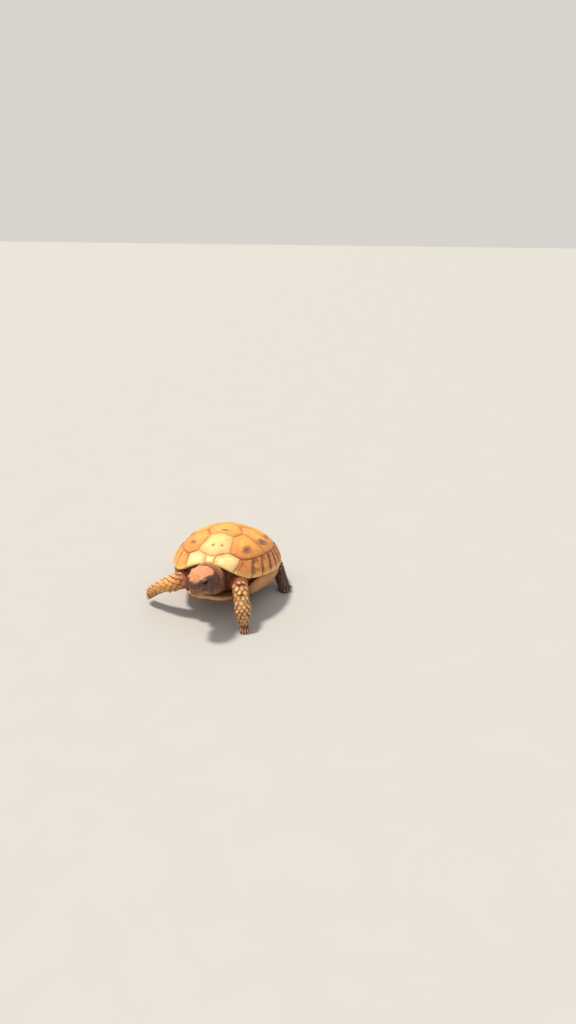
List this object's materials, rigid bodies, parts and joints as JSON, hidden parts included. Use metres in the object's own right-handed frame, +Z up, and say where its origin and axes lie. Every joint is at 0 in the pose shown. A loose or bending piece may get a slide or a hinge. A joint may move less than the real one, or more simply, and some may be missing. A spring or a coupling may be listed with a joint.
{
  "type": "young tortoise",
  "caption": "Life-size still figure of a young Mediterranean tortoise in mid-step, head out and turned, one foreleg stretched sideways.",
  "frame": {"origin": "middle of the bounding box, on the floor under the soles", "axes": "+Z up, the tortoise faces -Y, its own left is +X"},
  "size_m": [0.0696, 0.0834, 0.0368],
  "materials": {
    "carapace": "horny scutes, pale yellow and orange-tan with dark blotches, slightly glossy",
    "plastron": "horny plates, pale yellow-brown with soft dark patches",
    "skin": "scaly reptile skin, matte",
    "claw": "dark horn, smooth",
    "eye": "wet, near black"
  },
  "bodies": {
    "root": {"carapace": "carapace", "plastron": "plastron", "trunk": "skin", "neck": "skin", "head": "skin", "lower_jaw": "skin", "eye_left": "eye", "eye_right": "eye", "foreleg_left": "skin", "foreleg_right": "skin", "hindleg_left": "skin", "hindleg_right": "skin", "tail": "skin", "claw_foreleg_left_1": "claw", "claw_foreleg_left_2": "claw", "claw_foreleg_left_3": "claw", "claw_foreleg_left_4": "claw", "claw_foreleg_left_5": "claw", "claw_foreleg_right_1": "claw", "claw_foreleg_right_2": "claw", "claw_foreleg_right_3": "claw", "claw_foreleg_right_4": "claw", "claw_foreleg_right_5": "claw", "claw_hindleg_left_1": "claw", "claw_hindleg_left_2": "claw", "claw_hindleg_left_3": "claw", "claw_hindleg_left_4": "claw", "claw_hindleg_right_1": "claw", "claw_hindleg_right_2": "claw", "claw_hindleg_right_3": "claw", "claw_hindleg_right_4": "claw"}
  },
  "joints": []
}
